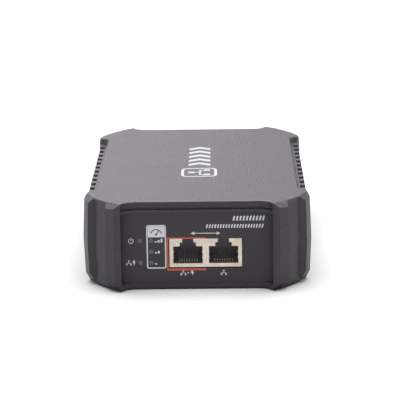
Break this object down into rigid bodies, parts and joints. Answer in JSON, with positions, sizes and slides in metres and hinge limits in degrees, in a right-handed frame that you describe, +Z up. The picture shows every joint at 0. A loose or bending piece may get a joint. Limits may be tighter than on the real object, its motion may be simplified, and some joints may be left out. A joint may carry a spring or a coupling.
{
  "type": "power over ethernet injector",
  "caption": "Desktop power-over-Ethernet injector: two-part ribbed case, side vents, recessed front panel with shielded network sockets and lights, mains inlet behind.",
  "frame": {"origin": "centre of the footprint, on the surface that the feet stand on", "axes": "+X to the right of the front panel, +Y from the front panel to the rear panel, +Z up"},
  "size_m": [0.092, 0.1396, 0.0364],
  "materials": {
    "case_plastic": "fine spark-eroded texture",
    "panel_plastic": "fine texture",
    "overlay_film": "satin printed film",
    "label_film": "satin film",
    "foot_rubber": "matte",
    "screw_steel": "zinc plated",
    "light_pipe": "smoked clear",
    "jack_nickel": "nickel plated",
    "insert_plastic": "moulded",
    "contact_gold": "gold plated",
    "inlet_plastic": "satin moulded",
    "pin_nickel": "nickel plated",
    "lead_insulation": "satin",
    "board_mask": "solder mask",
    "sheet_film": "fibre film",
    "light_chip": "moulded",
    "module_plastic": "moulded",
    "chip_plastic": "moulded",
    "resistor_ceramic": "glazed",
    "can_sleeve": "shrink sleeve",
    "ferrite": "sintered",
    "copper": "enamelled copper",
    "bobbin_plastic": "moulded",
    "winding_tape": "polyester tape",
    "heatsink_aluminium": "extruded",
    "pad_silicone": "matte",
    "film_case": "moulded box",
    "disc_coating": "dipped",
    "fuse_glass": "clear",
    "fuse_metal": "nickel plated"
  },
  "bodies": {
    "root": {"top_cover": "case_plastic", "bottom_cover": "case_plastic", "front_panel": "panel_plastic", "front_overlay": "overlay_film", "rear_panel": "panel_plastic", "light_pipes": "light_pipe", "rating_label": "label_film", "rubber_feet": "foot_rubber", "cover_screws": "screw_steel", "jack_shield": "jack_nickel", "left_jack_insert": "insert_plastic", "right_jack_insert": "insert_plastic", "left_contact_leads": "contact_gold", "right_contact_leads": "contact_gold", "ac_inlet": "inlet_plastic", "inlet_pins": "pin_nickel", "inlet_leads": "lead_insulation", "board_screws": "screw_steel", "main_board": "board_mask", "insulating_sheet": "sheet_film", "light_board": "board_mask", "status_lights": "light_chip", "data_transformers": "module_plastic", "power_controller": "chip_plastic", "supply_controller": "chip_plastic", "optocoupler": "chip_plastic", "small_resistors": "resistor_ceramic", "output_capacitors": "can_sleeve", "bulk_capacitor": "can_sleeve", "inductor_core": "ferrite", "inductor_winding": "copper", "transformer_core": "ferrite", "transformer_bobbin": "bobbin_plastic", "transformer_winding": "winding_tape", "choke_core": "ferrite", "choke_windings": "copper", "primary_heatsink": "heatsink_aluminium", "output_heatsink": "heatsink_aluminium", "switching_transistor": "chip_plastic", "output_rectifier": "chip_plastic", "heatsink_pads": "pad_silicone", "heatsink_screws": "screw_steel", "bridge_rectifier": "chip_plastic", "film_capacitor": "film_case", "safety_capacitors": "disc_coating", "surge_absorber": "disc_coating", "fuse_glass": "fuse_glass", "fuse_caps": "fuse_metal", "fuse_clips": "fuse_metal"},
    "left_contacts": {"left_contact_wires": "contact_gold"},
    "right_contacts": {"right_contact_wires": "contact_gold"}
  },
  "joints": [
    {"name": "left_contact_flex", "type": "hinge", "parent": "root", "child": "left_contacts", "pos_m": [-0.0037, -0.0597, 0.0107], "axis": [-1, 0, 0], "range_deg": [0, 10], "stiffness_Nm_per_rad": 0.2, "springref_deg": -1.15},
    {"name": "right_contact_flex", "type": "hinge", "parent": "root", "child": "right_contacts", "pos_m": [0.0105, -0.0597, 0.0107], "axis": [-1, 0, 0], "range_deg": [0, 10], "stiffness_Nm_per_rad": 0.2, "springref_deg": -1.15}
  ]
}
